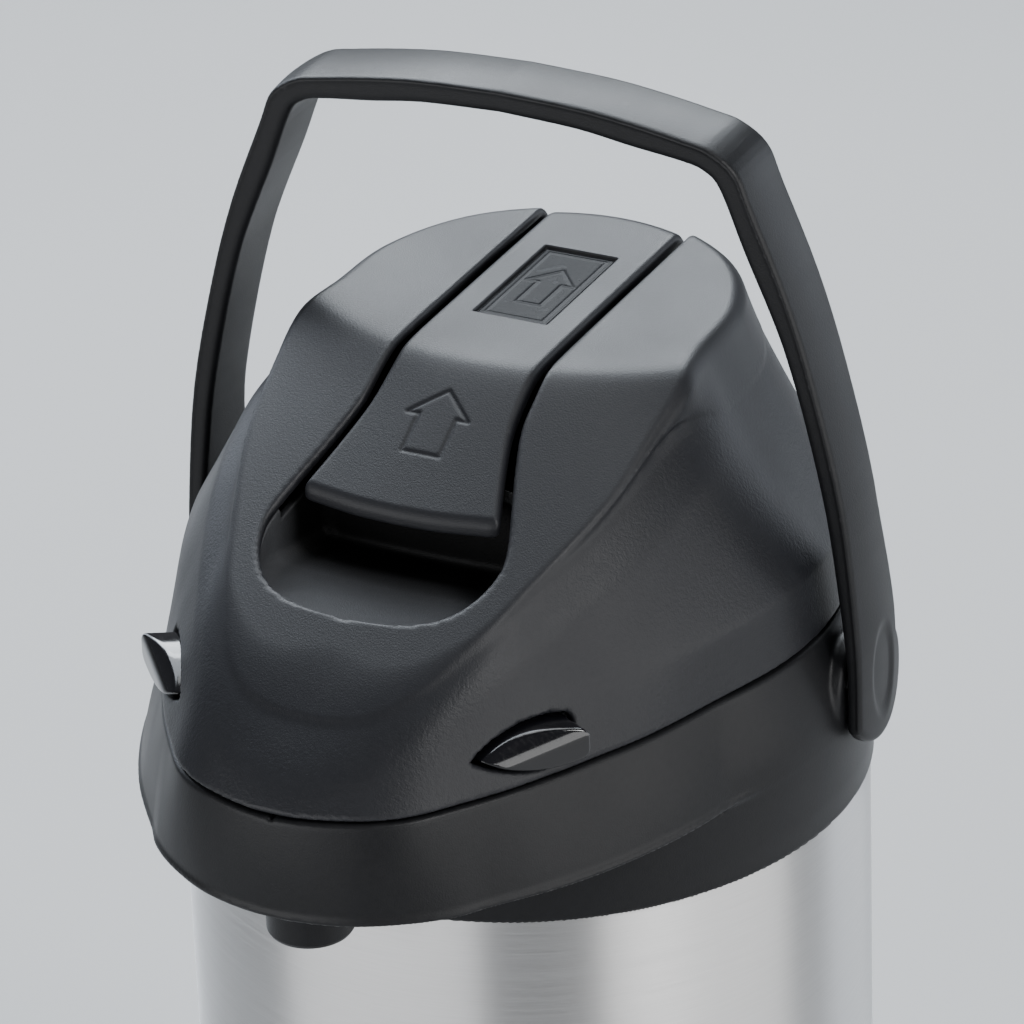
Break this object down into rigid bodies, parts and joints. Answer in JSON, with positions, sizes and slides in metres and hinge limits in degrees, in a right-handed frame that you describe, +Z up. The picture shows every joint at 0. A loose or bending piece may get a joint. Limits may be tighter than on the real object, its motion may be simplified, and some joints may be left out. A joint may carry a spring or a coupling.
{
  "type": "thermal coffee airpot",
  "caption": "Free-standing vacuum airpot with a pump lever in a hinged lid, side latches, bail handle, pouring nose and turning foot.",
  "frame": {"origin": "centre of the foot's underside, on the axis of the steel body", "axes": "+Z up, the pouring nose points to -Y, +X to the right of someone who looks along +Y"},
  "size_m": [0.1732, 0.2106, 0.4282],
  "materials": {
    "black_moulding": "fine grained satin",
    "lid_moulding": "fine grained satin",
    "tray_moulding": "coarser grain",
    "gloss_black": "polished",
    "inner_moulding": "matte",
    "label": "satin",
    "brushed_steel": "brushed round the body",
    "liner_steel": "satin",
    "pin_steel": "bright",
    "rubber": "matte",
    "silicone": "translucent matte"
  },
  "bodies": {
    "flask_body": {"outer_shell": "brushed_steel", "base_cup": "black_moulding", "swivel_pin": "pin_steel", "flask_cushion": "rubber", "vacuum_jacket": "liner_steel", "liner_base": "liner_steel", "flask_liner": "liner_steel", "liner_dome": "liner_steel", "liner_neck": "liner_steel", "neck_adaptor": "inner_moulding", "siphon_tube": "liner_steel", "transfer_tube": "silicone", "spout": "black_moulding", "nose_cover": "black_moulding", "collar": "black_moulding", "deck": "inner_moulding", "handle_pins": "pin_steel", "hinge_pin": "pin_steel", "deck_screws": "pin_steel", "nose_screws": "pin_steel"},
    "turning_foot": {"swivel_base": "black_moulding", "glide_ring": "silicone", "foot_mat": "rubber"},
    "bail": {"handle": "black_moulding"},
    "lid": {"lid_shell": "lid_moulding", "finger_tray": "tray_moulding", "lid_plate": "inner_moulding", "lid_gasket": "silicone", "pump_housing": "inner_moulding", "bellows": "rubber", "return_spring": "pin_steel", "outlet_valve": "rubber", "lever_pin": "pin_steel", "lid_screws": "pin_steel", "latch_spring_left": "pin_steel", "latch_spring_right": "pin_steel"},
    "pump_lever": {"lever": "lid_moulding", "label_plate": "label"},
    "pump_presser": {"presser": "inner_moulding", "intake_valve": "rubber"},
    "left_latch": {"latch_left": "gloss_black"},
    "right_latch": {"latch_right": "gloss_black"}
  },
  "joints": [
    {"name": "foot_swivel", "type": "hinge", "parent": "flask_body", "child": "turning_foot", "pos_m": [0, 0, 0.012], "axis": [0, 0, 1], "continuous": true},
    {"name": "handle_swing", "type": "hinge", "parent": "flask_body", "child": "bail", "pos_m": [0, 0.007, 0.292], "axis": [1, 0, 0], "range_deg": [-130, 75]},
    {"name": "lid_hinge", "type": "hinge", "parent": "flask_body", "child": "lid", "pos_m": [0, 0.083, 0.307], "axis": [-1, 0, 0], "range_deg": [0, 22]},
    {"name": "lever_hinge", "type": "hinge", "parent": "lid", "child": "pump_lever", "pos_m": [0, 0.048, 0.359], "axis": [-1, 0, 0], "range_deg": [0, 28]},
    {"name": "presser_slide", "type": "slide", "parent": "lid", "child": "pump_presser", "axis": [0, 0, 1], "range_m": [0, 0.0232], "deforming": ["bellows", "return_spring"]},
    {"name": "left_latch_push", "type": "slide", "parent": "lid", "child": "left_latch", "axis": [1, 0, 0], "range_m": [0, 0.0035], "stiffness_N_per_m": 400, "deforming": ["latch_spring_left"]},
    {"name": "right_latch_push", "type": "slide", "parent": "lid", "child": "right_latch", "axis": [-1, 0, 0], "range_m": [0, 0.0035], "stiffness_N_per_m": 400, "deforming": ["latch_spring_right"]}
  ],
  "couplings": [
    {"joint": "presser_slide", "follows": "lever_hinge", "m_per_rad": 0.04706}
  ]
}
